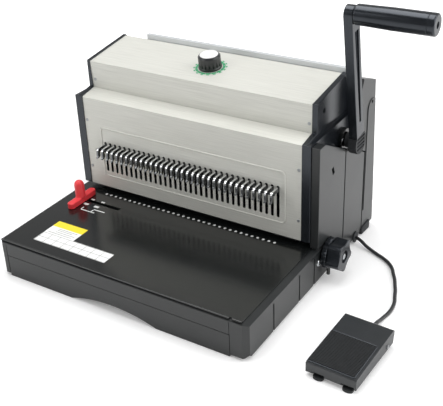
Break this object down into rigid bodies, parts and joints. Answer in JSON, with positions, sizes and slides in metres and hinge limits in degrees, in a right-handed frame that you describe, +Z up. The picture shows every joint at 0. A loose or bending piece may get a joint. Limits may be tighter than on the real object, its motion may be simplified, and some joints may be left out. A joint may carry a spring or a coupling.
{
  "type": "wire binding machine",
  "caption": "Desk machine that punches a row of holes in paper and closes wire combs: slotted panel with hooks, upright closing lever, size dial, side stop, chip drawer and foot pedal.",
  "frame": {"origin": "on the surface it stands on, under the middle of the machine and its pedal", "axes": "+X to the right along the row of hooks, +Y to the rear, +Z up"},
  "size_m": [0.5226, 0.362, 0.3653],
  "materials": {
    "black_plastic": "fine texture",
    "dark_paint": "satin powder coat",
    "silver_paint": "fine metallic powder coat",
    "steel": "satin",
    "bright_steel": "polished",
    "bronze": "plain",
    "rubber": "matt",
    "red_plastic": "gloss",
    "light_plastic": "gloss",
    "pedal_plastic": "moulded",
    "motor_grey": "satin",
    "alu_rail": "satin"
  },
  "bodies": {
    "machine": {"base_shell": "black_plastic", "bottom_sheet": "steel", "rubber_feet": "rubber", "paper_table": "dark_paint", "left_end_plate": "black_plastic", "right_end_plate": "black_plastic", "hook_panel": "silver_paint", "top_cover": "silver_paint", "side_cover_front": "black_plastic", "side_cover_middle": "black_plastic", "side_cover_rear": "black_plastic", "rear_cover": "black_plastic", "side_frames": "steel", "shaft_bushes": "bronze", "bearing_flange": "dark_paint", "closer_rail": "alu_rail", "guide_rods": "bright_steel", "guide_blocks": "dark_paint", "die_plate": "steel", "die_supports": "steel", "stripper_plate": "steel", "gearbox": "dark_paint", "motor": "motor_grey", "knob_collar": "steel", "mains_inlet": "black_plastic", "switch_frame": "black_plastic", "cover_screws": "steel", "pedal_base": "pedal_plastic", "pedal_pin": "steel", "pedal_switch": "rubber", "pedal_relief": "rubber", "cord_grommet": "rubber", "pedal_cord": "rubber"},
    "lever": {"lever_arm": "dark_paint", "lever_grip": "black_plastic", "grip_cap": "black_plastic", "lever_shaft": "bright_steel", "lever_pinions": "steel"},
    "hook_rack": {"hook_bar": "steel", "wire_hooks": "bright_steel", "hook_tie_rod": "bright_steel"},
    "lower_jaw": {"closer_jaw": "steel"},
    "cam_train": {"cam_shaft": "bright_steel", "punch_cams": "steel"},
    "drive": {"drive_gear": "steel"},
    "ram": {"punch_ram": "steel", "punch_pins": "bright_steel"},
    "drawer": {"chip_drawer": "black_plastic"},
    "margin_control": {"margin_knob": "black_plastic", "knob_shaft": "bright_steel"},
    "gauge": {"back_gauge": "steel"},
    "size_dial": {"dial_knob": "black_plastic", "dial_cap": "light_plastic", "dial_spindle": "bright_steel"},
    "stop": {"side_stop": "red_plastic", "stop_clamp": "steel"},
    "rocker": {"power_switch": "black_plastic"},
    "pedal_treadle": {"treadle": "pedal_plastic", "treadle_pad": "rubber"}
  },
  "joints": [
    {"name": "lever_pull", "type": "hinge", "parent": "machine", "child": "lever", "pos_m": [0.13621, 0.092, 0.172], "axis": [1, 0, 0], "range_deg": [0, 80]},
    {"name": "hook_travel", "type": "slide", "parent": "machine", "child": "hook_rack", "axis": [0, 0, -1], "range_m": [0, 0.0224]},
    {"name": "jaw_close", "type": "slide", "parent": "machine", "child": "lower_jaw", "axis": [0, 0, 1], "range_m": [0, 0.0224]},
    {"name": "cam_turn", "type": "hinge", "parent": "machine", "child": "cam_train", "pos_m": [-0.06879, 0.024, 0.12045], "axis": [1, 0, 0], "range_deg": [0, 181]},
    {"name": "drive_turn", "type": "hinge", "parent": "machine", "child": "drive", "pos_m": [-0.18379, 0.05, 0.12045], "axis": [1, 0, 0], "range_deg": [-181, 0]},
    {"name": "ram_stroke", "type": "slide", "parent": "machine", "child": "ram", "axis": [0, 0, -1], "range_m": [0, 0.008]},
    {"name": "drawer_slide", "type": "slide", "parent": "machine", "child": "drawer", "axis": [0, -1, 0], "range_m": [0, 0.15]},
    {"name": "knob_turn", "type": "hinge", "parent": "machine", "child": "margin_control", "pos_m": [0.13621, 0.027, 0.037], "axis": [1, 0, 0], "range_deg": [-25, 25]},
    {"name": "gauge_slide", "type": "slide", "parent": "machine", "child": "gauge", "axis": [0, 1, 0], "range_m": [-0.002, 0.002]},
    {"name": "dial_turn", "type": "hinge", "parent": "machine", "child": "size_dial", "pos_m": [-0.06879, 0.068, 0.24812], "axis": [0, -0.1325, 0.9912], "range_deg": [-150, 150]},
    {"name": "stop_slide", "type": "slide", "parent": "machine", "child": "stop", "axis": [1, 0, 0], "range_m": [0, 0.058]},
    {"name": "rocker_tilt", "type": "hinge", "parent": "machine", "child": "rocker", "pos_m": [0.05421, 0.16955, 0.07175], "axis": [0, -0.0815, 0.9967], "range_deg": [0, 10]},
    {"name": "treadle_press", "type": "hinge", "parent": "machine", "child": "pedal_treadle", "pos_m": [0.22871, -0.08503, 0.011], "axis": [0.999, -0.0454, 0], "range_deg": [0, 3], "stiffness_Nm_per_rad": 4, "springref_deg": -5.73}
  ],
  "couplings": [
    {"joint": "hook_travel", "follows": "lever_pull", "m_per_rad": 0.016},
    {"joint": "jaw_close", "follows": "lever_pull", "m_per_rad": 0.016},
    {"joint": "cam_turn", "follows": "ram_stroke", "rad_per_m": 392.7},
    {"joint": "drive_turn", "follows": "ram_stroke", "rad_per_m": -392.7},
    {"joint": "gauge_slide", "follows": "knob_turn", "m_per_rad": -0.0045}
  ]
}
